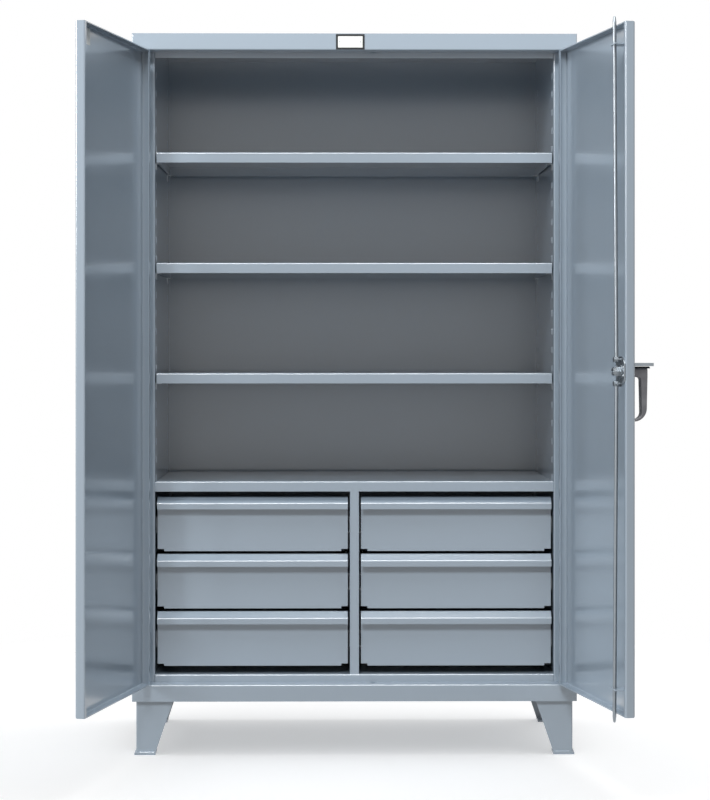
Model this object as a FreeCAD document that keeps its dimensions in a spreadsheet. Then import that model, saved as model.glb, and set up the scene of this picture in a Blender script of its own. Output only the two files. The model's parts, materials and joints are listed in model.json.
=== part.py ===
"""Welded steel cabinet with two swing doors, three shelves, six drawers and a rod latch, in millimetres.

The origin is on the floor under the middle of the cabinet: X to the right, Y to the back, Z up.
The doors stand open and the drawers are shut.
"""
import FreeCAD
import Part
import os
import Sketcher

doc = FreeCAD.newDocument("industrial_cabinet")
sheet = doc.addObject("Spreadsheet::Sheet", "Sizes")

# Driving sizes: name, millimetres (degrees for the two angles), what it is
SIZES = [
    ("cabinet_width", 1219.2, "outside, side to side"),
    ("cabinet_depth", 609.6, "outside, front to back"),
    ("body_height", 1828.8, "underside to top of the welded body"),
    ("leg_height", 147, "floor to body"),
    ("panel_gauge", 2.66, "12 gauge carcass and door sheet"),
    ("bend_radius", 4, "outside radius of the carcass bends"),
    ("header_height", 46, "front face over the doors"),
    ("sill_height", 46, "front face under the doors"),
    ("jamb_width", 22, "front face beside a door"),
    ("rabbet_depth", 50, "front face back to the door stop"),
    ("stop_width", 37.6, "door stop, from the rabbet wall inwards"),
    ("header_lip", 15, "door stop hanging under the header"),
    ("floor_lip", 21.5, "door stop standing on the sill"),
    ("back_flange", 20, "back panel flange along the side"),
    ("plate_width", 74, "name plate"),
    ("plate_height", 38, "name plate"),
    ("plate_thickness", 0.8, "name plate"),
    ("plate_offset", 12, "name plate, left of the middle"),
    ("leg_gauge", 4.55, "7 gauge leg sheet"),
    ("leg_inset", 11, "leg back from the body's outline"),
    ("rear_leg_inset", 4.5, "rear leg in from the body's side"),
    ("leg_top_width", 101, "front flange under the body"),
    ("leg_top_depth", 88, "side flange under the body"),
    ("leg_foot_width", 53, "both flanges at the foot"),
    ("foot_size", 58, "square foot plate"),
    ("foot_thickness", 6.35, "foot plate"),
    ("foot_proud", 4.5, "foot plate past the leg"),
    ("anchor_radius", 7, "floor anchor hole"),
    ("shelf_gauge", 1.9, "14 gauge shelf sheet"),
    ("shelf_bend", 3.5, "outside radius of the shelf bends"),
    ("shelf_depth", 508, "front to back"),
    ("shelf_lip", 28, "turned-down edge"),
    ("shelf_hem", 14, "front edge turned back under"),
    ("shelf_side_gap", 4, "each end to the inner panel"),
    ("shelf_setback", 0.9, "shelf behind the door stop"),
    ("lower_shelf_top", 1045, "floor to the lower shelf"),
    ("shelf_step", 304.8, "shelf to shelf"),
    ("deck_top", 746.5, "floor to the drawer deck"),
    ("slot_pitch", 50.8, "shelf slots"),
    ("slot_width", 5, "shelf slot"),
    ("slot_height", 16, "shelf slot"),
    ("slot_inset", 40, "slot column from the shelf's end"),
    ("slot_count", 23, "slots in a column"),
    ("slots_below", 5, "slots under the lower shelf's own"),
    ("clip_gauge", 2, "shelf clip sheet"),
    ("clip_width", 18, "shelf clip"),
    ("clip_ledge", 14, "shelf clip under the shelf"),
    ("clip_drop", 15, "shelf clip down the inner panel"),
    ("clip_hook", 5, "clip tongue behind the inner panel"),
    ("clip_play", 0.5, "clip tongue in its slot"),
    ("divider_width", 25.4, "post between the drawers"),
    ("divider_gauge", 1.9, "post sheet"),
    ("drawer_pitch", 158.75, "row to row"),
    ("drawer_clear", 20.4, "lowest front over the floor pan"),
    ("front_height", 151, "drawer front"),
    ("front_gauge", 1.5, "drawer front sheet"),
    ("front_bend", 4.5, "outside radius of the pull's bends"),
    ("front_gap", 5.5, "drawer front to its neighbour beside"),
    ("pull_setback", 1.4, "pull behind the door stop"),
    ("pull_reach", 20, "pull ahead of the drawer front"),
    ("pull_rise", 18, "slope of the pull"),
    ("pull_lip", 16, "upright lip of the pull"),
    ("notch_width", 18, "cut-away at a front's lower corners"),
    ("notch_height", 6, "cut-away at a front's lower corners"),
    ("tray_gauge", 1.2, "18 gauge drawer tray"),
    ("tray_length", 483, "front to back"),
    ("tray_height", 118, "wall"),
    ("tray_lift", 8, "tray over the front's lower edge"),
    ("rail_space", 13, "tray to the wall beside it"),
    ("rail_gauge", 1.5, "rail sheet"),
    ("rail_height", 44, "fixed rail"),
    ("rail_depth", 9.5, "rail section, off what carries it"),
    ("rail_play", 0.6, "running rail inside the fixed one"),
    ("rail_start", 35, "rail behind the drawer front"),
    ("rail_lift", 40, "fixed rail over the tray's underside"),
    ("door_gap", 3, "door to header, sill and other door"),
    ("door_side_gap", 2.5, "door to the rabbet wall"),
    ("door_thickness", 25.4, "pan depth"),
    ("door_bend", 6, "outside radius of the door's bends"),
    ("door_return", 14, "door's long edges turned in again"),
    ("return_bend", 4, "outside radius of that turn"),
    ("left_door_open", 101.6, "how far the left door stands open"),
    ("right_door_open", 100.8, "how far the right door stands open"),
    ("barrel_radius", 6.35, "hinge knuckle"),
    ("pin_radius", 4, "hinge pin"),
    ("pin_play", 0.05, "pin in its knuckle, at the radius"),
    ("pin_head", 3, "pin head over the door knuckle"),
    ("knuckle_height", 38, "each half of a hinge"),
    ("knuckle_gap", 0.5, "between the halves"),
    ("leaf_gauge", 3, "hinge leaf"),
    ("frame_leaf", 17, "hinge leaf on the jamb"),
    ("door_leaf", 26, "hinge leaf on the door"),
    ("hinge_inset", 150, "end hinges from the door's ends"),
    ("latch_height", 1056, "floor to the handle's spindle"),
    ("latch_inset", 33.6, "door's free edge to the spindle"),
    ("guide_inset", 48.6, "door's free edge to the rod at its guide"),
    ("rod_depth", 38.2, "door face to the rods"),
    ("rod_radius", 4.75, "latch rod"),
    ("rod_throw", 18, "rod past the door's edge"),
    ("rod_tip", 14, "tapered end"),
    ("rod_tip_radius", 2.8, "tapered end"),
    ("rod_tip_round", 2.2, "rounding of the tapered end"),
    ("rod_hole_radius", 8, "strike hole in header and sill"),
    ("eye_radius", 8, "flattened rod end"),
    ("eye_thickness", 4, "flattened rod end"),
    ("eye_bolt_radius", 3, "bolt in the rod end"),
    ("eye_bolt_head", 7.2, "bolt head, at its corners"),
    ("eye_bolt_height", 6, "bolt head"),
    ("eye_bolt_play", 0.05, "rod bolt in the cam, at the radius"),
    ("guide_gauge", 3, "rod guide plate"),
    ("guide_inset_end", 54, "guide from the door's end"),
    ("lower_guide_lift", 13, "lower guide, further from its door end than the upper"),
    ("guide_width", 50.7, "guide along the door"),
    ("guide_start", 10, "guide behind the door face"),
    ("guide_depth", 37, "guide away from the door"),
    ("guide_play", 0.4, "rod in its guide, at the radius"),
    ("guide_swing", 0.17, "rod's sideways room in its guide, as a share of the cam's throw"),
    ("spindle_radius", 6.3, "handle spindle"),
    ("spindle_thread", 5, "threaded end, radius"),
    ("spindle_play", 0.05, "spindle in its bush, at the radius"),
    ("spindle_grip", 18, "spindle inside the handle"),
    ("bush_radius", 9, "spindle bush"),
    ("bush_flange", 15, "bush flange, radius"),
    ("bush_flange_gauge", 2.5, "bush flange inside the door"),
    ("rose_radius", 10.5, "bush flange outside the door"),
    ("rose_gauge", 1.2, "bush flange outside the door"),
    ("cam_radius", 38, "latch cam"),
    ("cam_width", 66, "latch cam between its flats"),
    ("cam_gauge", 3, "latch cam plate"),
    ("cam_hub_radius", 14, "latch cam hub"),
    ("cam_lift", 0.8, "cam plate behind the door's flange"),
    ("cam_pin_offset", 30, "rod bolt from the spindle"),
    ("nut_radius", 13, "cam nut, at its corners"),
    ("nut_height", 10, "cam nut"),
    ("nut_flange", 19, "flange of the cam nut, radius"),
    ("nut_flange_gauge", 2.5, "flange of the cam nut"),
    ("spindle_tail", 5, "threaded end past the nut"),
    ("handle_gap", 0.3, "handle over the rose"),
    ("handle_width", 21, "cast lever, side to side"),
    ("handle_crown", 2, "lever above the spindle, past half its width"),
    ("handle_length", 125, "lever below the spindle"),
    ("handle_reach", 40, "lever off the door, at the top"),
    ("handle_taper", 2.5, "reach lost at the foot"),
    ("handle_grip", 16, "lever thickness, front to back"),
    ("handle_lip", 6.5, "lip at the crown, past the grip"),
    ("handle_lip_height", 5, "lip at the crown, top to bottom"),
    ("handle_hub", 14, "hub below the spindle"),
    ("handle_foot", 6.5, "lever foot, top to bottom"),
    ("handle_curve", 33, "outer curve at the foot"),
    ("handle_inner_curve", 17, "inner curve at the foot"),
    ("handle_flat", 0.4, "flat left on the rounded crown"),
    ("handle_edge", 2.4, "cast edges, radius"),
    ("handle_hub_curve", 8, "inner curve under the hub"),
    ("hasp_gauge", 7.94, "padlock plate"),
    ("hasp_width", 56, "padlock plate along the door"),
    ("hasp_reach", 52, "padlock plate off the door"),
    ("hasp_hole_radius", 5.2, "padlock shackle hole"),
    ("hasp_hole_reach", 26, "shackle hole off the door"),
    ("hasp_hole_gap", 1.5, "shackle hole to the lever beside it"),
    ("hasp_gap", 1, "padlock plate over the lever"),
]
for row, (name, number, meaning) in enumerate(SIZES, 1):
    sheet.set(f"A{row}", name)
    sheet.set(f"B{row}", str(number))
    sheet.setAlias(f"B{row}", name)
    sheet.set(f"C{row}", meaning)
doc.recompute()


class Sizes:
    """Each size by name, as text for an expression: S.cabinet_width gives Sizes.cabinet_width."""

    def __getattr__(self, name):
        return f"Sizes.{name}"


S = Sizes()
nodes = {}

# Planes that several pieces share
HALF = f"{S.cabinet_width} / 2"
INSIDE = f"({HALF} - {S.panel_gauge})"
FRONT = f"(-{S.cabinet_depth} / 2)"
BACK = f"({S.cabinet_depth} / 2)"
BASE = S.leg_height
TOP = f"({S.leg_height} + {S.body_height})"
ROOF = f"({TOP} - {S.panel_gauge})"
RABBET = f"({HALF} - {S.jamb_width})"
WALL = f"({RABBET} - {S.stop_width})"
STOP = f"({FRONT} + {S.rabbet_depth})"
STOP_BACK = f"({STOP} + {S.panel_gauge})"
HEAD = f"({TOP} - {S.header_height})"
LEDGE = f"({BASE} + {S.sill_height})"
FLOOR = f"({LEDGE} + {S.floor_lip})"
BACK_INSIDE = f"({BACK} - {S.panel_gauge})"
SHELF_FRONT = f"({STOP_BACK} + {S.shelf_setback})"
SHELF_BACK = f"({SHELF_FRONT} + {S.shelf_depth})"


def bind(thing, **expressions):
    for name, text in expressions.items():
        thing.setExpression(name.replace("__", "."), text)


def new_body(label):
    body = doc.addObject("PartDesign::Body", label)
    body.Label = label
    return body


def keep(body, label=None):
    nodes[label or body.Label] = body
    return body


def block(body, kind, x, y, z):
    """An added or cut box between two expressions on each axis."""
    box = body.newObject(f"PartDesign::{kind}Box", f"{body.Label}_block")
    bind(
        box,
        Length=f"({x[1]}) - ({x[0]})",
        Width=f"({y[1]}) - ({y[0]})",
        Height=f"({z[1]}) - ({z[0]})",
        Placement__Base__x=x[0],
        Placement__Base__y=y[0],
        Placement__Base__z=z[0],
    )
    return box


def rod(body, kind, radius, height, x, y, z, along="z", shape="Cylinder"):
    """An added or cut cylinder (or hexagonal prism) that starts at x, y, z and runs along an axis."""
    turns = {"z": "0; 0; 1); 0", "y": "1; 0; 0); -90", "x": "0; 1; 0); 90"}
    round_one = body.newObject(f"PartDesign::{kind}{shape}", f"{body.Label}_rod")
    bind(round_one, Height=height)
    bind(round_one, **{"Circumradius" if shape == "Prism" else "Radius": radius})
    round_one.setExpression(
        "Placement",
        f"create(<<placement>>; create(<<vector>>; {x}; {y}; {z});"
        f" create(<<rotation>>; create(<<vector>>; {turns[along]}))",
    )
    return round_one


def section(body, plane, points, start, length):
    """A closed outline of straight lines on one of the body's planes, padded from start."""
    sketch = body.newObject("Sketcher::SketchObject", f"{body.Label}_outline")
    base = [f for f in body.Origin.OriginFeatures if f.Role == plane][0]
    sketch.AttachmentSupport = (base, [""])
    sketch.MapMode = "FlatFace"
    sketch.setExpression("AttachmentOffset.Base.z", start)
    count = len(points)
    places = [FreeCAD.Vector(number(x), number(y), 0) for x, y in points]
    for i in range(count):
        sketch.addGeometry(Part.LineSegment(places[i], places[(i + 1) % count]), False)
    for i in range(count):
        sketch.addConstraint(Sketcher.Constraint("Coincident", i, 2, (i + 1) % count, 1))
    for i, texts in enumerate(points):
        for kind, text, at in zip(("DistanceX", "DistanceY"), texts, places[i]):
            k = sketch.addConstraint(Sketcher.Constraint(kind, i, 1, at))
            sketch.setExpression(f"Constraints[{k}]", text)
    pad = body.newObject("PartDesign::Pad", f"{body.Label}_pad")
    pad.Profile = sketch
    pad.setExpression("Length", length)
    return pad


scratch = doc.addObject("Part::Vertex", "reading")


def number(text):
    """An expression's present number, read off a point that is bound to it."""
    scratch.setExpression("X", text)
    doc.recompute([scratch])
    return scratch.X.Value


def soften(body, radius, chosen, label):
    """Round the edges of the body's tip for which chosen(edge) is true."""
    doc.recompute()
    tip = body.Tip
    names = [f"Edge{i}" for i, e in enumerate(tip.Shape.Edges, 1) if chosen(e)]
    fillet = body.newObject("PartDesign::Fillet", f"{body.Label}_{label}")
    fillet.Base = (tip, names)
    fillet.setExpression("Radius", radius)
    body.Tip = fillet
    return fillet


def along(axis, *places):
    """A test for straight edges that run along an axis through one of the places (pairs on the other two)."""
    others = [i for i in range(3) if i != "xyz".index(axis)]
    spots = [(number(a), number(b)) for a, b in places]

    def chosen(edge):
        first, last = edge.firstVertex().Point, edge.lastVertex().Point
        return any(
            all(abs(p[o] - s) < 1e-4 for p in (first, last) for o, s in zip(others, spot))
            for spot in spots
        )

    return chosen


def within(axis, *levels):
    """A test for edges that lie flat at one of the levels of an axis."""
    which = "xyz".index(axis)
    places = [number(level) for level in levels]

    def chosen(edge):
        return any(all(abs(v.Point[which] - place) < 1e-4 for v in edge.Vertexes) for place in places)

    return chosen


def swung(side):
    """The placement of a door's pieces, which are drawn shut: turned about the hinge pins."""
    opening = S.right_door_open if side > 0 else S.left_door_open
    return (
        "create(<<placement>>; create(<<vector>>; 0; 0; 0);"
        f" create(<<rotation>>; create(<<vector>>; 0; 0; 1); {side} * {opening});"
        f" create(<<vector>>; {side} * {HINGE_X}; {HINGE_Y}; 0))"
    )


def sided(side, low, high):
    """A span on the right of the middle, or its mirror on the left."""
    return (low, high) if side > 0 else (f"-({high})", f"-({low})")


def group(label, bodies):
    """Like pieces in one node."""
    compound = doc.addObject("Part::Compound", label)
    compound.Label = label
    compound.Links = bodies
    return keep(compound, label)


SIDES = {"left": -1, "right": 1}


# Carcass: each side panel is wall, jamb face and rabbet return in one bent sheet
def side_panel(name, side):
    body = new_body(f"{name}_side_panel")
    jamb = f"({FRONT} + {S.panel_gauge})"
    outline = [
        (HALF, BACK),
        (HALF, FRONT),
        (RABBET, FRONT),
        (RABBET, STOP),
        (f"{RABBET} + {S.panel_gauge}", STOP),
        (f"{RABBET} + {S.panel_gauge}", jamb),
        (INSIDE, jamb),
        (INSIDE, BACK),
    ]
    section(body, "XY_Plane", [(f"{side} * ({x})", y) for x, y in outline], BASE, f"{ROOF} - {BASE}")
    flange = sided(side, RABBET, INSIDE)
    block(body, "Subtractive", flange, (FRONT, STOP), (BASE, LEDGE))
    block(body, "Subtractive", flange, (FRONT, STOP), (HEAD, ROOF))
    corners = [(f"{side} * ({HALF})", FRONT), (f"{side} * {RABBET}", FRONT)]
    soften(body, S.bend_radius, along("z", *corners), "bends")
    return keep(body)


# Inner panel: the door stop and the wall behind it, with a column of slots near each end of the shelves
SLOT_Z = f"({S.lower_shelf_top} - {S.shelf_lip} - {S.clip_gauge} - {S.slot_height} / 2 + {S.clip_play})"
SLOT_COLUMNS = {
    "front": f"({SHELF_FRONT} + {S.slot_inset})",
    "rear": f"({SHELF_BACK} - {S.slot_inset})",
}


def inner_panel(name, side):
    body = new_body(f"{name}_inner_panel")
    outline = [
        (WALL, STOP),
        (f"{RABBET} + {S.panel_gauge}", STOP),
        (f"{RABBET} + {S.panel_gauge}", STOP_BACK),
        (f"{WALL} + {S.panel_gauge}", STOP_BACK),
        (f"{WALL} + {S.panel_gauge}", BACK_INSIDE),
        (WALL, BACK_INSIDE),
    ]
    low = f"({BASE} + {S.panel_gauge})"
    section(body, "XY_Plane", [(f"{side} * ({x})", y) for x, y in outline], low, f"{ROOF} - {low}")
    soften(body, S.bend_radius, along("z", (f"{side} * {WALL}", STOP)), "bend")
    through = sided(side, f"{WALL} - {S.panel_gauge}", f"{WALL} + 2 * {S.panel_gauge}")
    first = f"({SLOT_Z} - {S.slots_below} * {S.slot_pitch})"
    slots = [
        block(
            body,
            "Subtractive",
            through,
            (f"{y} - {S.slot_width} / 2", f"{y} + {S.slot_width} / 2"),
            (f"{first} - {S.slot_height} / 2", f"{first} + {S.slot_height} / 2"),
        )
        for y in SLOT_COLUMNS.values()
    ]
    doc.recompute()
    column = body.newObject("PartDesign::LinearPattern", f"{body.Label}_slots")
    column.Originals = slots
    column.Direction = ([f for f in body.Origin.OriginFeatures if f.Role == "Z_Axis"][0], [""])
    bind(column, Length=f"({S.slot_count} - 1) * {S.slot_pitch}", Occurrences=S.slot_count)
    body.Tip = column
    return keep(body)


def back_panel():
    body = new_body("back_panel")
    x = (f"-{INSIDE}", INSIDE)
    z = (f"{BASE} + {S.panel_gauge}", ROOF)
    block(body, "Additive", x, (BACK_INSIDE, BACK), z)
    for side in SIDES.values():
        flange = sided(side, f"{INSIDE} - {S.panel_gauge}", INSIDE)
        block(body, "Additive", flange, (f"{BACK} - {S.back_flange}", BACK), z)
    return keep(body)


def top_panel():
    body = new_body("top_panel")
    block(body, "Additive", (f"-{HALF}", HALF), (FRONT, BACK), (ROOF, TOP))
    return keep(body)


def bottom_panel():
    body = new_body("bottom_panel")
    y = (f"{FRONT} + {S.panel_gauge}", BACK)
    block(body, "Additive", (f"-{INSIDE}", INSIDE), y, (BASE, f"{BASE} + {S.panel_gauge}"))
    return keep(body)


# Header: face, soffit and the stop lip that hangs behind it. A hole in the soffit takes the upper latch rod.
ROD_X = f"({S.door_gap} / 2 + {S.guide_inset})"
ROD_Y = f"({FRONT} + {S.rod_depth})"


def header():
    body = new_body("header")
    face = f"({FRONT} + {S.panel_gauge})"
    outline = [
        (FRONT, ROOF),
        (FRONT, HEAD),
        (STOP, HEAD),
        (STOP, f"{HEAD} - {S.header_lip}"),
        (STOP_BACK, f"{HEAD} - {S.header_lip}"),
        (STOP_BACK, f"{HEAD} + {S.panel_gauge}"),
        (face, f"{HEAD} + {S.panel_gauge}"),
        (face, ROOF),
    ]
    section(body, "YZ_Plane", outline, f"-{INSIDE}", f"2 * {INSIDE}")
    soften(body, S.bend_radius, along("x", (FRONT, HEAD)), "bend")
    for side in SIDES.values():
        stop = sided(side, WALL, INSIDE)
        low = (f"{HEAD} - {S.header_lip}", f"{HEAD} + {S.panel_gauge}")
        block(body, "Subtractive", stop, (STOP, STOP_BACK), low)
    rod(body, "Subtractive", S.rod_hole_radius, S.panel_gauge, ROD_X, ROD_Y, HEAD)
    return keep(body)


# Sill: face and ledge. A hole in the ledge takes the lower latch rod.
def sill():
    body = new_body("sill")
    face = f"({FRONT} + {S.panel_gauge})"
    under = f"({LEDGE} - {S.panel_gauge})"
    outline = [
        (FRONT, BASE),
        (FRONT, LEDGE),
        (STOP, LEDGE),
        (STOP, under),
        (face, under),
        (face, BASE),
    ]
    section(body, "YZ_Plane", outline, f"-{INSIDE}", f"2 * {INSIDE}")
    soften(body, S.bend_radius, along("x", (FRONT, LEDGE)), "bend")
    rod(body, "Subtractive", S.rod_hole_radius, S.panel_gauge, ROD_X, ROD_Y, under)
    return keep(body)


# Floor pan: its turned-down front edge is the lower door stop
def floor_pan():
    body = new_body("floor_pan")
    under = f"({FLOOR} - {S.panel_gauge})"
    outline = [
        (STOP, f"{BASE} + {S.panel_gauge}"),
        (STOP, FLOOR),
        (BACK_INSIDE, FLOOR),
        (BACK_INSIDE, under),
        (STOP_BACK, under),
        (STOP_BACK, f"{BASE} + {S.panel_gauge}"),
    ]
    section(body, "YZ_Plane", outline, f"-{WALL}", f"2 * {WALL}")
    soften(body, S.bend_radius, along("x", (STOP, FLOOR)), "bend")
    return keep(body)


def name_plate():
    body = new_body("name_plate")
    middle = f"({TOP} - {S.header_height} / 2)"
    x = (f"-{S.plate_offset} - {S.plate_width} / 2", f"-{S.plate_offset} + {S.plate_width} / 2")
    z = (f"{middle} - {S.plate_height} / 2", f"{middle} + {S.plate_height} / 2")
    block(body, "Additive", x, (f"{FRONT} - {S.plate_thickness}", FRONT), z)
    return keep(body)


# Legs: two tapered flanges to a leg, on a foot plate with an anchor hole. The front pair (end -1) stands
# further in than the rear pair (end 1), and the holes of all four are in line.
LEG_X = {-1: f"({HALF} - {S.leg_inset})", 1: f"({HALF} - {S.rear_leg_inset})"}
LEG_Y = f"({BACK} - {S.leg_inset})"


def leg(name, side, end):
    body = new_body(f"{name}_leg")
    foot = S.foot_thickness
    outer = LEG_X[end]
    front_flange = [
        (outer, foot),
        (outer, BASE),
        (f"{outer} - {S.leg_top_width}", BASE),
        (f"{outer} - {S.leg_foot_width}", foot),
    ]
    side_flange = [
        (LEG_Y, foot),
        (LEG_Y, BASE),
        (f"{LEG_Y} - {S.leg_top_depth}", BASE),
        (f"{LEG_Y} - {S.leg_foot_width}", foot),
    ]
    front_at = f"-({LEG_Y})" if end > 0 else f"{LEG_Y} - {S.leg_gauge}"
    side_at = f"{outer} - {S.leg_gauge}" if side > 0 else f"-{outer}"
    section(body, "XZ_Plane", [(f"{side} * ({x})", z) for x, z in front_flange], front_at, S.leg_gauge)
    section(body, "YZ_Plane", [(f"{end} * ({y})", z) for y, z in side_flange], side_at, S.leg_gauge)
    soften(body, S.leg_gauge, along("z", (f"{side} * {outer}", f"{end} * {LEG_Y}")), "bend")
    return keep(body)


def foot_plates():
    plates = []
    for end in (-1, 1):
        for name, side in SIDES.items():
            plate = new_body(f"{name}_{'rear' if end > 0 else 'front'}_foot")
            x_out = f"({LEG_X[end]} + {S.foot_proud})"
            y_out = f"({LEG_Y} + {S.foot_proud})"
            x = sided(side, f"{x_out} - {S.foot_size}", x_out)
            y = sided(end, f"{y_out} - {S.foot_size}", y_out)
            block(plate, "Additive", x, y, ("0", S.foot_thickness))
            x_hole = f"{side} * ({LEG_X[-1]} + {S.foot_proud} - {S.foot_size} / 2)"
            y_hole = f"{end} * ({y_out} - {S.foot_size} / 2)"
            rod(plate, "Subtractive", S.anchor_radius, S.foot_thickness, x_hole, y_hole, "0")
            plates.append(plate)
    return group("foot_plates", plates)


# Shelves and deck: a pan turned down on four sides, its front edge hemmed back underneath
def shelf(label, top, half_width):
    body = new_body(label)
    bottom = f"({top} - {S.shelf_lip})"
    x = (f"-{half_width}", half_width)
    block(body, "Additive", x, (SHELF_FRONT, SHELF_BACK), (bottom, top))
    soften(body, S.shelf_bend, within("z", top), "bends")
    block(
        body,
        "Subtractive",
        (f"-({half_width} - {S.shelf_gauge})", f"{half_width} - {S.shelf_gauge}"),
        (f"{SHELF_FRONT} + {S.shelf_gauge}", f"{SHELF_BACK} - {S.shelf_gauge}"),
        (bottom, f"{top} - {S.shelf_gauge}"),
    )
    hem = (SHELF_FRONT, f"{SHELF_FRONT} + {S.shelf_hem}")
    block(body, "Additive", x, hem, (bottom, f"{bottom} + {S.shelf_gauge}"))
    return keep(body)


# Clips: a ledge under the shelf's end, a leg down the inner panel and a tongue in a slot
def shelf_clips(tops):
    clips = []
    for top in tops:
        for side in SIDES.values():
            for y in SLOT_COLUMNS.values():
                clip = new_body(f"clip_{len(clips) + 1}")
                ledge = f"({top} - {S.shelf_lip})"
                slot = f"({ledge} - {S.clip_gauge} - {S.slot_height} / 2 + {S.clip_play})"
                wide = (f"{y} - {S.clip_width} / 2", f"{y} + {S.clip_width} / 2")
                slim = (
                    f"{y} - {S.slot_width} / 2 + {S.clip_play}",
                    f"{y} + {S.slot_width} / 2 - {S.clip_play}",
                )
                tall = (
                    f"{slot} - {S.slot_height} / 2 + {S.clip_play}",
                    f"{slot} + {S.slot_height} / 2 - {S.clip_play}",
                )
                under = (f"{ledge} - {S.clip_gauge}", ledge)
                block(clip, "Additive", sided(side, f"{WALL} - {S.clip_ledge}", WALL), wide, under)
                down = (f"{ledge} - {S.clip_drop} - {S.clip_gauge}", ledge)
                block(clip, "Additive", sided(side, f"{WALL} - {S.clip_gauge}", WALL), wide, down)
                behind = f"{WALL} + {S.panel_gauge} + {S.clip_hook}"
                block(clip, "Additive", sided(side, f"{WALL} - {S.clip_gauge}", behind), slim, tall)
                clips.append(clip)
    return group("shelf_clips", clips)


# Divider: a post with two side walls, open to the back
DECK_UNDER = f"({S.deck_top} - {S.shelf_gauge})"
POST = f"({S.divider_width} / 2)"


def drawer_divider():
    body = new_body("drawer_divider")
    inner = f"({POST} - {S.divider_gauge})"
    start = f"({SHELF_FRONT} + {S.shelf_hem})"
    back = f"({SHELF_BACK} - {S.shelf_hem})"
    low_head = f"({S.deck_top} - {S.shelf_lip})"
    block(body, "Additive", (f"-{POST}", POST), (SHELF_FRONT, back), (FLOOR, low_head))
    block(body, "Additive", (f"-{POST}", POST), (start, back), (FLOOR, DECK_UNDER))
    post_front = (f"{SHELF_FRONT} + {S.divider_gauge}", f"{back} + {S.divider_gauge}")
    block(body, "Subtractive", (f"-{inner}", inner), post_front, (FLOOR, DECK_UNDER))
    edges = [(f"-{POST}", SHELF_FRONT), (POST, SHELF_FRONT)]
    soften(body, S.divider_gauge, along("z", *edges), "bends")
    return keep(body)


# Drawers: a tray, a front with a formed pull and a pair of running rails that nest in the fixed ones
PULL_FRONT = f"({STOP_BACK} + {S.pull_setback})"
FACE = f"({PULL_FRONT} + {S.pull_reach})"
TRAY_FRONT = f"({FACE} + {S.front_gauge})"
TRAY_BACK = f"({TRAY_FRONT} + {S.tray_length})"
TRAY_NEAR = f"({POST} + {S.rail_space})"
TRAY_FAR = f"({WALL} - {S.rail_space})"
ROWS = {"lower": 0, "middle": 1, "upper": 2}


def drawer_bottom(row):
    return f"({FLOOR} + {S.drawer_clear} + {row} * {S.drawer_pitch})"


def drawer_tray(label, side, row):
    body = new_body(label)
    bottom = f"({drawer_bottom(row)} + {S.tray_lift})"
    top = f"({bottom} + {S.tray_height})"
    x = sided(side, TRAY_NEAR, TRAY_FAR)
    block(body, "Additive", x, (TRAY_FRONT, TRAY_BACK), (bottom, top))
    block(
        body,
        "Subtractive",
        sided(side, f"{TRAY_NEAR} + {S.tray_gauge}", f"{TRAY_FAR} - {S.tray_gauge}"),
        (f"{TRAY_FRONT} + {S.tray_gauge}", f"{TRAY_BACK} - {S.tray_gauge}"),
        (f"{bottom} + {S.tray_gauge}", top),
    )
    return keep(body)


def drawer_front(label, side, row):
    body = new_body(label)
    bottom = drawer_bottom(row)
    top = f"({bottom} + {S.front_height})"
    run = f"({S.pull_reach} + {S.front_gauge})"
    fall = f"({S.pull_rise} / {run})"
    nose = f"({top} - {S.pull_rise})"
    plumb = f"({S.front_gauge} * hypot({run}; {S.pull_rise}) / {run})"
    lip_back = f"({PULL_FRONT} + {S.front_gauge})"
    outline = [
        (TRAY_FRONT, top),
        (PULL_FRONT, nose),
        (PULL_FRONT, f"{nose} - {S.pull_lip}"),
        (lip_back, f"{nose} - {S.pull_lip}"),
        (lip_back, f"{nose} + {fall} * {S.front_gauge} - {plumb}"),
        (FACE, f"{top} - {fall} * {S.front_gauge} - {plumb}"),
        (FACE, bottom),
        (TRAY_FRONT, bottom),
    ]
    near = f"({POST} + {S.front_gap})"
    far = f"({WALL} - {S.front_gap})"
    x = sided(side, near, far)
    section(body, "YZ_Plane", outline, x[0], f"{far} - {near}")
    soften(body, S.front_bend, along("x", (PULL_FRONT, nose)), "bend")
    corner = (bottom, f"{bottom} + {S.notch_height}")
    sheet_y = (FACE, TRAY_FRONT)
    for span in ((near, f"{near} + {S.notch_width}"), (f"{far} - {S.notch_width}", far)):
        block(body, "Subtractive", sided(side, *span), sheet_y, corner)
    return keep(body)


def channel(body, web, way, z):
    """A rail: a web, and flanges off it to the right (way 1) or left (way -1), run back from the front."""
    low, high = z
    inner = f"({web} + {way} * {S.rail_gauge})"
    tip = f"({web} + {way} * {S.rail_depth})"
    outline = [
        (web, low),
        (tip, low),
        (tip, f"{low} + {S.rail_gauge}"),
        (inner, f"{low} + {S.rail_gauge}"),
        (inner, f"{high} - {S.rail_gauge}"),
        (tip, f"{high} - {S.rail_gauge}"),
        (tip, high),
        (web, high),
    ]
    start = f"({TRAY_FRONT} + {S.rail_start})"
    return section(body, "XZ_Plane", outline, f"-({TRAY_BACK})", f"{TRAY_BACK} - {start}")


def rail_span(row):
    low = f"({drawer_bottom(row)} + {S.tray_lift} + {S.rail_lift})"
    return low, f"({low} + {S.rail_height})"


def fixed_rails(name, side):
    rails = []
    for row in ROWS.values():
        for web, way in ((WALL, -1), (POST, 1)):
            body = new_body(f"{name}_fixed_rail_{len(rails) + 1}")
            channel(body, f"{side} * {web}", side * way, rail_span(row))
            rails.append(body)
    return group(f"{name}_bay_rails", rails)


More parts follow.
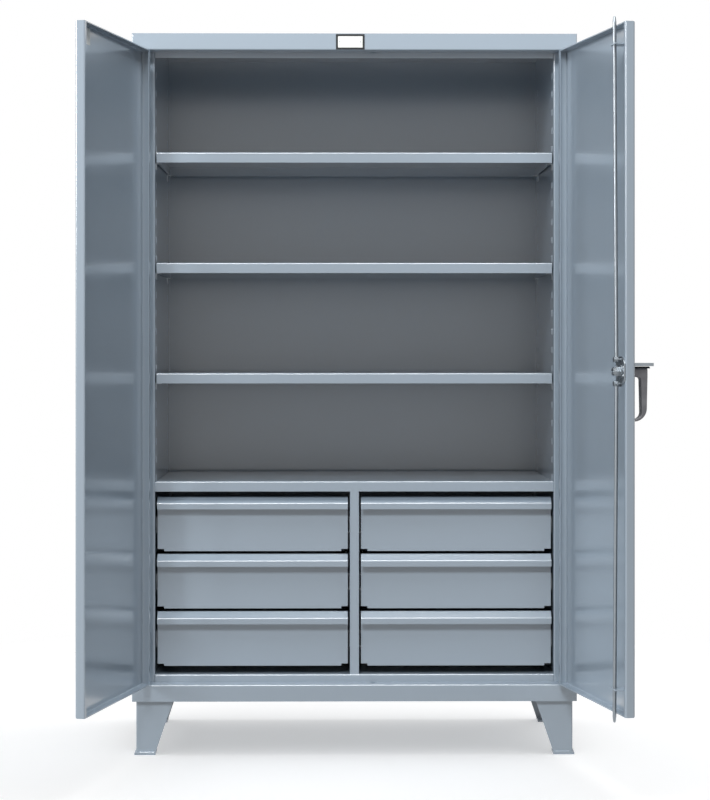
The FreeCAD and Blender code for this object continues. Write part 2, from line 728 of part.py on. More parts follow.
def drawer_rails(label, side, row):
    low, high = rail_span(row)
    inset = f"({S.rail_gauge} + {S.rail_play})"
    rails = []
    for web, way in ((TRAY_FAR, 1), (TRAY_NEAR, -1)):
        body = new_body(f"{label}_{len(rails) + 1}")
        channel(body, f"{side} * {web}", side * way, (f"{low} + {inset}", f"{high} - {inset}"))
        rails.append(body)
    return group(label, rails)


# Doors: pans whose long edges turn in again, drawn shut, then swung open about their hinge pins
HINGE_X = RABBET
HINGE_Y = f"({FRONT} - {S.barrel_radius})"
DOOR_EDGE = f"({RABBET} - {S.door_side_gap})"
DOOR_FREE = f"({S.door_gap} / 2)"
DOOR_LOW = f"({LEDGE} + {S.door_gap})"
DOOR_HIGH = f"({HEAD} - {S.door_gap})"
DOOR_BACK = f"({FRONT} + {S.door_thickness})"
LATCH_X = f"({DOOR_FREE} + {S.latch_inset})"
LATCH_HOLE = f"({S.bush_radius} + {S.spindle_play})"


def door_pan(name, side):
    body = new_body(f"{name}_door_pan")
    block(body, "Additive", sided(side, DOOR_FREE, DOOR_EDGE), (FRONT, DOOR_BACK), (DOOR_LOW, DOOR_HIGH))
    soften(body, S.door_bend, within("y", FRONT), "bends")
    long_edges = [(f"{side} * {edge}", DOOR_BACK) for edge in (DOOR_FREE, DOOR_EDGE)]
    soften(body, S.return_bend, along("z", *long_edges), "returns")
    inner_face = f"({FRONT} + {S.panel_gauge})"
    high = (f"{DOOR_LOW} + {S.panel_gauge}", f"{DOOR_HIGH} - {S.panel_gauge}")
    mouth = sided(side, f"{DOOR_FREE} + {S.door_return}", f"{DOOR_EDGE} - {S.door_return}")
    block(body, "Subtractive", mouth, (inner_face, DOOR_BACK), high)
    hollow = sided(side, f"{DOOR_FREE} + {S.panel_gauge}", f"{DOOR_EDGE} - {S.panel_gauge}")
    block(body, "Subtractive", hollow, (inner_face, f"{DOOR_BACK} - {S.panel_gauge}"), high)
    soften(body, f"{S.door_bend} - {S.panel_gauge}", within("y", inner_face), "inner_bends")
    if side > 0:
        rod(
            body,
            "Subtractive",
            LATCH_HOLE,
            f"3 * {S.panel_gauge}",
            LATCH_X,
            f"{FRONT} - {S.panel_gauge}",
            S.latch_height,
            along="y",
        )
    body.setExpression("Placement", swung(side))
    return keep(body)


# Hinges: a frame knuckle under a door knuckle, each with a leaf, on one headed pin
HINGE_LEVELS = [
    f"({DOOR_LOW} + {S.hinge_inset})",
    f"(({DOOR_LOW} + {DOOR_HIGH}) / 2)",
    f"({DOOR_HIGH} - {S.hinge_inset})",
]


def knuckle(label, side, leaf, low, high):
    body = new_body(label)
    tall = f"({high}) - ({low})"
    rod(body, "Additive", S.barrel_radius, tall, f"{side} * {HINGE_X}", HINGE_Y, low)
    block(body, "Additive", sided(side, *leaf), (f"{FRONT} - {S.leaf_gauge}", FRONT), (low, high))
    bore = f"{S.pin_radius} + {S.pin_play}"
    rod(body, "Subtractive", bore, tall, f"{side} * {HINGE_X}", HINGE_Y, low)
    return body


def hinges(name, side):
    frame_half, door_half, pins = [], [], []
    frame_leaf = (HINGE_X, f"{HINGE_X} + {S.frame_leaf}")
    door_leaf = (f"{HINGE_X} - {S.door_leaf}", HINGE_X)
    for level in HINGE_LEVELS:
        count = len(pins) + 1
        seam = f"{S.knuckle_gap} / 2"
        low = f"({level} - {seam} - {S.knuckle_height})"
        high = f"({level} + {seam} + {S.knuckle_height})"
        lower = knuckle(f"{name}_frame_knuckle_{count}", side, frame_leaf, low, f"{level} - {seam}")
        frame_half.append(lower)
        upper = knuckle(f"{name}_door_knuckle_{count}", side, door_leaf, f"{level} + {seam}", high)
        upper.setExpression("Placement", swung(side))
        door_half.append(upper)
        pin = new_body(f"{name}_pin_{count}")
        x = f"{side} * {HINGE_X}"
        rod(pin, "Additive", S.pin_radius, f"{high} - {low}", x, HINGE_Y, low)
        cap = f"{S.barrel_radius} - {S.pin_play}"
        rod(pin, "Additive", cap, S.pin_head, x, HINGE_Y, f"{high} + {seam}")
        rod(pin, "Additive", S.pin_radius, seam, x, HINGE_Y, high)
        pins.append(pin)
    group(f"{name}_frame_hinges", frame_half)
    group(f"{name}_door_hinges", door_half)
    group(f"{name}_hinge_pins", pins)


# Latch, on the right door: distances go behind the door's face, or ahead of it where they are taken off FRONT
def behind(depth):
    return f"({FRONT} + {depth})"


LOWER_GUIDE = f"({S.guide_inset_end} + {S.lower_guide_lift})"


def rod_guides():
    guides = []
    for level in (f"({DOOR_LOW} + {LOWER_GUIDE})", f"({DOOR_HIGH} - {S.guide_inset_end})"):
        body = new_body(f"guide_{len(guides) + 1}")
        edge = f"({DOOR_FREE} + {S.door_return})"
        y = (behind(S.guide_start), behind(f"{S.guide_start} + {S.guide_depth}"))
        z = (f"{level} - {S.guide_gauge} / 2", f"{level} + {S.guide_gauge} / 2")
        block(body, "Additive", (edge, f"{edge} + {S.guide_width}"), y, z)
        half = f"({S.rod_radius} + {S.guide_play})"
        ends = [f"({ROD_X} + {way} * {S.guide_swing} * {S.cam_pin_offset})" for way in (-1, 1)]
        for x in ends:
            rod(body, "Subtractive", half, S.guide_gauge, x, ROD_Y, z[0])
        block(body, "Subtractive", ends, (f"{ROD_Y} - {half}", f"{ROD_Y} + {half}"), z)
        body.setExpression("Placement", swung(1))
        guides.append(body)
    return group("rod_guides", guides)


def spindle_bush():
    body = new_body("spindle_bush")
    rose = f"({FRONT} - {S.rose_gauge})"
    inside = behind(S.panel_gauge)
    flange = f"({inside} + {S.bush_flange_gauge})"
    at = (LATCH_X, rose, S.latch_height)
    rod(body, "Additive", S.rose_radius, S.rose_gauge, *at, along="y")
    rod(body, "Additive", S.bush_radius, f"{flange} - {rose}", *at, along="y")
    rod(body, "Additive", S.bush_flange, S.bush_flange_gauge, LATCH_X, inside, S.latch_height, along="y")
    bore = f"{S.spindle_radius} + {S.spindle_play}"
    rod(body, "Subtractive", bore, f"{flange} - {rose}", *at, along="y")
    body.setExpression("Placement", swung(1))
    return keep(body)


HANDLE_HEAD = f"({S.latch_height} + {S.handle_width} / 2 + {S.handle_crown})"
HASP_LOW = f"({HANDLE_HEAD} + {S.hasp_gap})"


# Padlock plate: a shackle dropped through it stands beside the lever and stops it turning
def padlock_hasp():
    body = new_body("padlock_hasp")
    x = (f"{LATCH_X} - {S.hasp_width} / 2", f"{LATCH_X} + {S.hasp_width} / 2")
    outer = f"({FRONT} - {S.hasp_reach})"
    block(body, "Additive", x, (outer, FRONT), (HASP_LOW, f"{HASP_LOW} + {S.hasp_gauge}"))
    corners = [(edge, outer) for edge in x]
    soften(body, S.hasp_gauge, along("z", *corners), "corners")
    beside = f"({LATCH_X} + {S.handle_width} / 2 + {S.hasp_hole_gap} + {S.hasp_hole_radius})"
    off_door = f"({FRONT} - {S.hasp_hole_reach})"
    rod(body, "Subtractive", S.hasp_hole_radius, S.hasp_gauge, beside, off_door, HASP_LOW)
    body.setExpression("Placement", swung(1))
    return keep(body)


HANDLE_BACK = f"({FRONT} - {S.rose_gauge} - {S.handle_gap})"
SPINDLE_FRONT = f"({HANDLE_BACK} - {S.spindle_grip})"
CAM_DEPTH = f"({S.door_thickness} + {S.cam_lift})"
CAM_FACE = behind(f"{CAM_DEPTH} + {S.cam_gauge}")


# Lever: a cast loop that leaves the door at the hub, runs down as a grip and curves back at its foot.
# Its crown is round about the spindle, with a small lip.
def handle_lever():
    body = new_body("handle_lever")
    head = HANDLE_HEAD
    foot = f"({S.latch_height} - {S.handle_length})"
    outer_top = f"({FRONT} - {S.handle_reach})"
    outer_foot = f"({outer_top} + {S.handle_taper})"
    hub_low = f"({S.latch_height} - {S.handle_hub})"
    inner_top = (f"({outer_top} + {S.handle_grip} + {S.handle_taper})", hub_low)
    inner_foot = (f"({outer_foot} + {S.handle_grip} - {S.handle_taper})", f"({foot} + {S.handle_foot})")
    outline = [
        (HANDLE_BACK, head),
        (outer_top, head),
        (outer_top, hub_low),
        (outer_foot, foot),
        (HANDLE_BACK, foot),
        (HANDLE_BACK, inner_foot[1]),
        inner_foot,
        inner_top,
        (HANDLE_BACK, hub_low),
    ]
    left = f"({LATCH_X} - {S.handle_width} / 2)"
    section(body, "YZ_Plane", outline, left, S.handle_width)
    soften(body, S.handle_curve, along("x", (outer_foot, foot)), "foot")
    soften(body, S.handle_inner_curve, along("x", inner_foot), "inside_foot")
    soften(body, S.handle_hub_curve, along("x", inner_top), "inside_hub")
    sides = (left, f"{left} + {S.handle_width}")
    rounding = f"({S.handle_width} - {S.handle_flat}) / 2"
    soften(body, rounding, along("y", *[(x, head) for x in sides]), "crown")
    soften(body, S.handle_edge, within("x", *sides), "edges")
    lip_front = f"({outer_top} - {S.handle_lip})"
    crown = f"({head} - {S.latch_height})"
    rod(body, "Additive", crown, S.handle_lip, LATCH_X, lip_front, S.latch_height, along="y")
    under_lip = (f"{S.latch_height} - {crown}", f"{head} - {S.handle_lip_height}")
    across = (f"{LATCH_X} - {crown}", f"{LATCH_X} + {crown}")
    block(body, "Subtractive", across, (lip_front, outer_top), under_lip)
    bore = f"{S.spindle_radius} + {S.spindle_play}"
    rod(body, "Subtractive", bore, S.spindle_grip, LATCH_X, SPINDLE_FRONT, S.latch_height, along="y")
    body.setExpression("Placement", swung(1))
    return keep(body)


def latch_spindle():
    body = new_body("latch_spindle")
    at = (LATCH_X, SPINDLE_FRONT, S.latch_height)
    rod(body, "Additive", S.spindle_radius, f"{CAM_FACE} - {SPINDLE_FRONT}", *at, along="y")
    thread = f"{S.nut_height} + {S.spindle_tail}"
    rod(body, "Additive", S.spindle_thread, thread, LATCH_X, CAM_FACE, S.latch_height, along="y")
    body.setExpression("Placement", swung(1))
    return keep(body)


# Cam: a round plate with two flats on a hub, with a hole that each rod's bolt turns in
def latch_cam():
    body = new_body("latch_cam")
    face = behind(CAM_DEPTH)
    hub = behind(f"{S.panel_gauge} + {S.bush_flange_gauge} + {S.handle_gap}")
    rod(body, "Additive", S.cam_radius, S.cam_gauge, LATCH_X, face, S.latch_height, along="y")
    rod(body, "Additive", S.cam_hub_radius, f"{face} - {hub}", LATCH_X, hub, S.latch_height, along="y")
    high = (f"{S.latch_height} - {S.cam_radius}", f"{S.latch_height} + {S.cam_radius}")
    for side in SIDES.values():
        low, out = sided(side, f"{S.cam_width} / 2", S.cam_radius)
        block(body, "Subtractive", (f"{LATCH_X} + {low}", f"{LATCH_X} + {out}"), (face, CAM_FACE), high)
    bore = f"{S.spindle_radius} + {S.spindle_play}"
    rod(body, "Subtractive", bore, f"{CAM_FACE} - {hub}", LATCH_X, hub, S.latch_height, along="y")
    for way in (-1, 1):
        level = f"{S.latch_height} + {way} * {S.cam_pin_offset}"
        hole = f"{S.eye_bolt_radius} + {S.eye_bolt_play}"
        rod(body, "Subtractive", hole, S.cam_gauge, LATCH_X, face, level, along="y")
    body.setExpression("Placement", swung(1))
    return keep(body)


def cam_nut():
    body = new_body("cam_nut")
    at = (LATCH_X, CAM_FACE, S.latch_height)
    rod(body, "Additive", S.nut_radius, S.nut_height, *at, along="y", shape="Prism")
    rod(body, "Additive", S.nut_flange, S.nut_flange_gauge, *at, along="y")
    bore = f"{S.spindle_thread} + {S.spindle_play}"
    rod(body, "Subtractive", bore, S.nut_height, *at, along="y")
    body.setExpression("Placement", swung(1))
    return keep(body)


# Rods: drawn upright from the eye at the cam to the tapered tip, then leaned to pass through their guide
def latch_rod(name, way):
    body = new_body(f"{name}_latch_rod")
    door_end = DOOR_HIGH if way > 0 else DOOR_LOW
    inset = S.guide_inset_end if way > 0 else LOWER_GUIDE
    rise = f"({way} * ({door_end} - {S.latch_height}) - {S.cam_pin_offset} - {inset})"
    lean = f"atan2({S.guide_inset} - {S.latch_inset}; {rise})"
    length = f"(({rise} + {inset}) / cos({lean}) + {S.rod_throw})"
    half_eye = f"({S.eye_thickness} / 2)"
    rod(body, "Additive", S.rod_radius, f"{length} - {S.rod_tip} - {half_eye}", "0", "0", half_eye)
    tip = body.newObject("PartDesign::AdditiveCone", f"{name}_tip")
    bind(
        tip,
        Radius1=S.rod_radius,
        Radius2=S.rod_tip_radius,
        Height=S.rod_tip,
        Placement__Base__z=f"{length} - {S.rod_tip}",
    )
    soften(body, S.rod_tip_round, within("z", length), "tip_round")
    rod(body, "Additive", S.eye_radius, S.eye_thickness, "0", f"-{half_eye}", "0", along="y")
    shank = f"({S.rod_depth} - {CAM_DEPTH})"
    rod(body, "Additive", S.eye_bolt_radius, shank, "0", f"-{shank}", "0", along="y")
    rod(body, "Additive", S.eye_bolt_head, S.eye_bolt_height, "0", half_eye, "0", along="y", shape="Prism")
    pin = f"({S.latch_height} + {way} * {S.cam_pin_offset})"
    turn = lean if way > 0 else f"180 deg - {lean}"
    stand = (
        f"create(<<placement>>; create(<<vector>>; {LATCH_X}; {ROD_Y}; {pin});"
        f" create(<<rotation>>; create(<<vector>>; 0; 1; 0); {turn}))"
    )
    body.setExpression("Placement", f"{swung(1)} * {stand}")
    return keep(body)


# The whole cabinet
for name, side in SIDES.items():
    side_panel(name, side)
    inner_panel(name, side)
    door_pan(name, side)
    hinges(name, side)
    fixed_rails(name, side)
    for end_name, end in {"front": -1, "rear": 1}.items():
        leg(f"{end_name}_{name}", side, end)
    for row_name, row in ROWS.items():
        drawer = f"{row_name}_{name}_drawer"
        drawer_tray(f"{drawer}_tray", side, row)
        drawer_front(f"{drawer}_front", side, row)
        drawer_rails(f"{drawer}_rails", side, row)

back_panel()
top_panel()
bottom_panel()
header()
sill()
floor_pan()
name_plate()
foot_plates()

shelf_tops = {
    "lower": S.lower_shelf_top,
    "middle": f"({S.lower_shelf_top} + {S.shelf_step})",
    "upper": f"({S.lower_shelf_top} + 2 * {S.shelf_step})",
}
for name, top in shelf_tops.items():
    shelf(f"{name}_shelf", top, f"({WALL} - {S.shelf_side_gap})")
shelf("drawer_deck", S.deck_top, WALL)
shelf_clips(shelf_tops.values())
drawer_divider()

rod_guides()
spindle_bush()
padlock_hasp()
handle_lever()
latch_spindle()
latch_cam()
cam_nut()
latch_rod("upper", 1)
latch_rod("lower", -1)

# Check every object before anything is written
doc.recompute()
for thing in doc.Objects:
    if "Invalid" in thing.State or "Error" in thing.State:
        raise RuntimeError(f"{thing.Label} failed: {thing.State}")
for label, thing in nodes.items():
    if thing.Shape.isNull() or not thing.Shape.isValid():
        raise RuntimeError(f"{label} has no valid shape")

os.makedirs("parts", exist_ok=True)
for label, thing in nodes.items():
    thing.Shape.exportStep(f"parts/{label}.step")
print(f"{len(nodes)} nodes, {sum(len(n.Shape.Solids) for n in nodes.values())} solids")
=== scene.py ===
import bpy
import json
import math
import bmesh
from mathutils import Matrix, Vector


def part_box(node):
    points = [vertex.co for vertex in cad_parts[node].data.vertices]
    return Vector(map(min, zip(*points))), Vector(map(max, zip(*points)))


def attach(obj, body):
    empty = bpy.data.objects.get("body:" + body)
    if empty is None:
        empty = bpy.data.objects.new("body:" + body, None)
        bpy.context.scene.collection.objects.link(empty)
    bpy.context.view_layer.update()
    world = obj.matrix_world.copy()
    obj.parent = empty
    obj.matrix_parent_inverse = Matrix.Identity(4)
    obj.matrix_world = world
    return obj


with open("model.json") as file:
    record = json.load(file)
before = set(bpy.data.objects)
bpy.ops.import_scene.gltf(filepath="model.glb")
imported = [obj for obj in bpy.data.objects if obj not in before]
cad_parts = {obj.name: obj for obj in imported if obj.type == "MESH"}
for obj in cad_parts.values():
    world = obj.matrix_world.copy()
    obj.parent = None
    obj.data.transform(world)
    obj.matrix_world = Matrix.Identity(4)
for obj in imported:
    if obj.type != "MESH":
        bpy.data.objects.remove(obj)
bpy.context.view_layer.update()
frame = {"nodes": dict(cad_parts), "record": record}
nodes = frame["nodes"]


def linear(hexText):
    parts = [int(hexText[i:i + 2], 16) / 255 for i in (1, 3, 5)]
    return [c / 12.92 if c <= 0.04045 else ((c + 0.055) / 1.055) ** 2.4 for c in parts] + [1.0]


def addNode(tree, kind, settings=None, inputs=None):
    node = tree.nodes.new(kind)
    for name, value in (settings or {}).items():
        setattr(node, name, value)
    for key, value in (inputs or {}).items():
        if isinstance(value, bpy.types.NodeSocket):
            tree.links.new(value, node.inputs[key])
        else:
            node.inputs[key].default_value = value
    return node


def perMetre(millimetres):
    return 1000 / millimetres    # pattern repeats per metre, as the texture nodes want it


def startMaterial(name):
    material = bpy.data.materials.new(name)
    material.use_nodes = True
    tree = material.node_tree
    shader = tree.nodes["Principled BSDF"]
    place = addNode(tree, "ShaderNodeTexCoord").outputs["Object"]
    return material, tree, shader, place


# baked enamel, sprayed on bent sheet steel: semi-gloss, so edges catch light and flat sheets
# mirror what stands near them softly; faint orange peel, and sheets that are never quite flat
enamel = {
    "colour": "#8D9BA8",
    "shade": "#8B99A6",
    "toneSize": 520,        # mm, slow drift of tone over a sheet
    "peelSize": 7,          # mm; real orange peel is near 2 mm, drawn coarser so that it shows
    "peelDepth": 0.001,     # mm
    "waveSize": 480,        # mm, bow of the sheet between bends
    "waveDepth": 0.03,      # mm
    "glossSize": 160,       # mm
    "roughness": (0.27, 0.30),
    "specular": 1.0,
    "coat": 1.0,
    "coatRoughness": 0.16,
}


def bakedEnamel(name, look):
    material, tree, shader, place = startMaterial(name)
    tone = addNode(tree, "ShaderNodeTexNoise", None, {
        "Vector": place, "Scale": perMetre(look["toneSize"]), "Detail": 3.0, "Roughness": 0.5})
    colour = addNode(tree, "ShaderNodeMix", {"data_type": "RGBA"}, {
        0: tone.outputs["Fac"], 6: linear(look["shade"]), 7: linear(look["colour"])})
    gloss = addNode(tree, "ShaderNodeTexNoise", None, {
        "Vector": place, "Scale": perMetre(look["glossSize"]), "Detail": 2.0})
    low, high = look["roughness"]
    rough = addNode(tree, "ShaderNodeMapRange", None, {
        "Value": gloss.outputs["Fac"], "To Min": low, "To Max": high})
    wave = addNode(tree, "ShaderNodeTexNoise", None, {
        "Vector": place, "Scale": perMetre(look["waveSize"]), "Detail": 0.0})
    peel = addNode(tree, "ShaderNodeTexNoise", None, {
        "Vector": place, "Scale": perMetre(look["peelSize"]), "Detail": 0.0})
    bowed = addNode(tree, "ShaderNodeBump", None, {
        "Strength": 1.0, "Distance": look["waveDepth"] / 1000, "Height": wave.outputs["Fac"]})
    bump = addNode(tree, "ShaderNodeBump", None, {
        "Strength": 1.0, "Distance": look["peelDepth"] / 1000, "Height": peel.outputs["Fac"],
        "Normal": bowed.outputs["Normal"]})
    tree.links.new(colour.outputs[2], shader.inputs["Base Color"])
    tree.links.new(rough.outputs["Result"], shader.inputs["Roughness"])
    tree.links.new(bump.outputs["Normal"], shader.inputs["Normal"])
    shader.inputs["Specular IOR Level"].default_value = look["specular"]
    shader.inputs["Coat Weight"].default_value = look["coat"]
    shader.inputs["Coat Roughness"].default_value = look["coatRoughness"]
    return material


# zinc electroplate on drawn and stamped steel: bright, a little cloudy, with a fine grain
zinc = {
    "colour": "#9AA0A5",
    "shade": "#7C8389",
    "patchSize": 26,        # mm, clouds in the plating
    "patchDetail": 5.0,
    "grainSize": 2.5,       # mm, grain of the drawn steel, coarser than life so that it shows
    "grainDepth": 0.02,     # mm
    "roughness": (0.3, 0.46),
    "metallic": 1.0,
}

# cast iron, tumbled and waxed: dark, with sand grain from the mould and polish on the grip
iron = {
    "colour": "#808083",
    "shade": "#48484C",
    "patchSize": 30,        # mm, where hands and tumbling have polished it
    "patchDetail": 4.0,
    "grainSize": 2.2,       # mm, sand of the mould
    "grainDepth": 0.11,     # mm
    "roughness": (0.34, 0.5),
    "metallic": 0.85,
}
patchRange = (0.3, 0.7)     # where most of the patches' noise lies


def patchyMetal(name, look):
    material, tree, shader, place = startMaterial(name)
    patch = addNode(tree, "ShaderNodeTexNoise", None, {
        "Vector": place, "Scale": perMetre(look["patchSize"]), "Detail": look["patchDetail"]})
    colour = addNode(tree, "ShaderNodeMix", {"data_type": "RGBA"}, {
        0: patch.outputs["Fac"], 6: linear(look["shade"]), 7: linear(look["colour"])})
    low, high = look["roughness"]
    start, end = patchRange
    rough = addNode(tree, "ShaderNodeMapRange", None, {
        "Value": patch.outputs["Fac"], "From Min": start, "From Max": end, "To Min": high, "To Max": low})
    grain = addNode(tree, "ShaderNodeTexNoise", None, {
        "Vector": place, "Scale": perMetre(look["grainSize"]), "Detail": 2.0})
    bump = addNode(tree, "ShaderNodeBump", None, {
        "Strength": 1.0, "Distance": look["grainDepth"] / 1000, "Height": grain.outputs["Fac"]})
    tree.links.new(colour.outputs[2], shader.inputs["Base Color"])
    tree.links.new(rough.outputs["Result"], shader.inputs["Roughness"])
    tree.links.new(bump.outputs["Normal"], shader.inputs["Normal"])
    shader.inputs["Metallic"].default_value = look["metallic"]
    return material


# stove enamel on a thin aluminium plate: white, smooth, slightly uneven
plateEnamel = {
    "colour": "#F0F0EC",
    "shade": "#DEDFDC",
    "toneSize": 14,         # mm
    "roughness": 0.3,
}


def stoveEnamel(name, look):
    material, tree, shader, place = startMaterial(name)
    tone = addNode(tree, "ShaderNodeTexNoise", None, {
        "Vector": place, "Scale": perMetre(look["toneSize"]), "Detail": 3.0})
    colour = addNode(tree, "ShaderNodeMix", {"data_type": "RGBA"}, {
        0: tone.outputs["Fac"], 6: linear(look["shade"]), 7: linear(look["colour"])})
    tree.links.new(colour.outputs[2], shader.inputs["Base Color"])
    shader.inputs["Roughness"].default_value = look["roughness"]
    return material


finishes = {
    "blue_grey_paint": bakedEnamel("bakedEnamelBlueGrey", enamel),
    "zinc_plate": patchyMetal("zincPlatedSteel", zinc),
    "cast_handle": patchyMetal("castIronWaxed", iron),
    "plate_enamel": stoveEnamel("stoveEnamelWhite", plateEnamel),
}
for part in frame["record"]["subparts"]:
    mesh = nodes[part["node"]].data
    mesh.materials.clear()
    mesh.materials.append(finishes[part["material_slot"]])
print("finishes on", len(nodes), "nodes")


joints = {joint["name"]: joint for joint in frame["record"]["behaviour"]["joints"]}
sides = {"left": -1, "right": 1}


def swingOpen(mesh, side):
    # pieces on a door are drawn with it shut, then swung to where it stands
    joint = joints[side + "_door_swing"]
    pin = Matrix.Translation(Vector(joint["pos_m"]))
    turn = Matrix.Rotation(-math.radians(joint["range_deg"][0]) * sides[side], 4, "Z")
    mesh.transform(pin @ turn @ pin.inverted())


def placePiece(name, shape, slot, body, side=None, material=None):
    bmesh.ops.recalc_face_normals(shape, faces=shape.faces)
    mesh = bpy.data.meshes.new(name)
    shape.to_mesh(mesh)
    shape.free()
    if side:
        swingOpen(mesh, side)
    mesh.materials.append(material or finishes[slot])
    piece = bpy.data.objects.new(name, mesh)
    bpy.context.scene.collection.objects.link(piece)
    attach(piece, body)
    return piece


def shadeSmooth(piece, degrees):
    for face in piece.data.polygons:
        face.use_smooth = True
    piece.data.set_sharp_from_angle(angle=math.radians(degrees))


def joinRings(shape, rings):
    # faces between each ring of points and the next
    for near, far in zip(rings, rings[1:]):
        for k in range(len(near)):
            j = (k + 1) % len(near)
            shape.faces.new((near[k], near[j], far[j], far[k]))


def closedTube(shape, rings):
    joinRings(shape, rings)
    shape.faces.new(rings[0])
    shape.faces.new(rings[-1])


# welds: short rippled runs in the corners where plates meet
weld = {
    "leg": 0.0042,          # m, size of the bead's legs
    "ripple": 0.0034,       # m, from one ripple to the next
    "wobble": 0.10,
    "arc": 6,               # faces round the bead
    "perRipple": 4,         # steps along each ripple
    "leastSteps": 10,
    "taper": 0.006,         # m, run-out at each end
    "stub": 0.35,           # size left at the very end
    "sink": 0.0006,         # m, root of the bead into the plates
    "smooth": 50,           # degrees, sharper edges stay sharp
}


def layBead(shape, start, end, up, out, look):
    start, end, up, out = (Vector(v) for v in (start, end, up, out))
    length = (end - start).length
    steps = max(look["leastSteps"], round(length / look["ripple"] * look["perRipple"]))
    rings = []
    for i in range(steps + 1):
        run = length * i / steps
        swell = 1 + look["wobble"] * math.cos(2 * math.pi * run / look["ripple"])
        ease = min(1, look["stub"] + min(run, length - run) / look["taper"])
        size = look["leg"] * swell * ease
        spot = start.lerp(end, i / steps)
        ring = [shape.verts.new(spot - look["sink"] * (up + out))]
        for k in range(look["arc"] + 1):
            turn = math.pi / 2 * k / look["arc"]
            ring.append(shape.verts.new(spot + size * (up * math.cos(turn) + out * math.sin(turn))))
        rings.append(ring)
    closedTube(shape, rings)


legWeld = {
    "ends": 0.008,          # m, bare at a run's ends
    "gauge": 0.00455,       # m, the leg's plate
    "footReach": 0.053,     # m, run along the foot plate
}


def cabinetWelds(look):
    shape = bmesh.new()
    for end, way in (("front", -1), ("rear", 1)):
        for side, out in sides.items():
            low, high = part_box(end + "_" + side + "_leg")
            outerX = high.x if out > 0 else low.x
            outerY = high.y if way > 0 else low.y
            width, depth = high.x - low.x, high.y - low.y
            insideX, insideY = outerX - out * look["gauge"], outerY - way * look["gauge"]
            near, reach = look["ends"], look["footReach"]
            # under the body, behind each flange
            layBead(shape, (insideX - out * near, insideY, high.z),
                    (outerX - out * (width - near), insideY, high.z), (0, 0, -1), (0, -way, 0), weld)
            layBead(shape, (insideX, insideY - way * near, high.z),
                    (insideX, outerY - way * (depth - near), high.z), (0, 0, -1), (-out, 0, 0), weld)
            # on the foot plate, outside each flange
            layBead(shape, (outerX - out * near, outerY, low.z), (outerX - out * reach, outerY, low.z),
                    (0, 0, 1), (0, way, 0), weld)
            layBead(shape, (outerX, outerY - way * near, low.z), (outerX, outerY - way * reach, low.z),
                    (0, 0, 1), (out, 0, 0), weld)
    shadeSmooth(placePiece("legWelds", shape, "blue_grey_paint", "cabinet"), weld["smooth"])


cabinetWelds(legWeld)

hingeWeld = {
    "leaf": 0.003,          # m, bead as thick as the leaf
    "frameLeaf": 0.017,     # m, from the pin to the edge of the frame's leaf
    "doorLeaf": 0.026,      # m, from the pin to the edge of the door's leaf
    "knuckle": 0.038,       # m, half a hinge's height
    "inset": 0.150,         # m, end hinges in from the door's ends
    "ends": 0.003,          # m, bare at a run's ends
}


def hingeWelds(look):
    bead = weld | {"leg": look["leaf"]}
    ends, knuckle = look["ends"], look["knuckle"]
    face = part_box("header")[0].y
    for side, out in sides.items():
        pin = joints[side + "_door_swing"]["pos_m"]
        low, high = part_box(side + "_door_pan")
        jamb, door = pin[0] + out * look["frameLeaf"], pin[0] - out * look["doorLeaf"]
        frameShape, doorShape = bmesh.new(), bmesh.new()
        for level in (low.z + look["inset"], pin[2], high.z - look["inset"]):
            layBead(frameShape, (jamb, face, level - knuckle + ends), (jamb, face, level - ends),
                    (0, -1, 0), (out, 0, 0), bead)
            layBead(doorShape, (door, face, level + ends), (door, face, level + knuckle - ends),
                    (0, -1, 0), (-out, 0, 0), bead)
        onFrame = placePiece(side + "FrameHingeWelds", frameShape, "blue_grey_paint", "cabinet")
        onDoor = placePiece(side + "DoorHingeWelds", doorShape, "blue_grey_paint", side + "_door", side)
        shadeSmooth(onFrame, weld["smooth"])
        shadeSmooth(onDoor, weld["smooth"])


hingeWelds(hingeWeld)
print("welds laid")


# domed heads of rivets and bolts, and the rounded end of the spindle
headShape = {
    "height": 0.55,         # as a share of its radius
    "round": 20,
    "rings": 4,
}


def domeHead(shape, centre, normal, radius, look):
    turn = Vector((0, 0, 1)).rotation_difference(Vector(normal))
    rings = []
    for r in range(look["rings"]):
        lift = math.pi / 2 * r / look["rings"]
        row = []
        for k in range(look["round"]):
            around = 2 * math.pi * k / look["round"]
            spot = Vector((math.cos(around) * math.cos(lift), math.sin(around) * math.cos(lift),
                           look["height"] * math.sin(lift)))
            row.append(shape.verts.new(Vector(centre) + turn @ (radius * spot)))
        rings.append(row)
    top = shape.verts.new(Vector(centre) + turn @ Vector((0, 0, radius * look["height"])))
    joinRings(shape, rings)
    for k in range(look["round"]):
        shape.faces.new((rings[-1][k], rings[-1][(k + 1) % look["round"]], top))
    shape.faces.new(rings[0])


# name plate: a blank plate, framed by a raised dark line and held by two drive rivets
plateTrim = {
    "line": 0.0056,         # m, width of the frame line
    "lap": 0.0022,          # m, line past the plate's edge, down to the header
    "proud": 0.0003,        # m
    "rivet": 0.0016,        # m, radius of a rivet's head
    "rivetInset": 0.0085,   # m, from the plate's ends
    "smooth": 40,           # degrees
    "lineColour": "#15181B",
    "lineShade": "#1D2124",
}


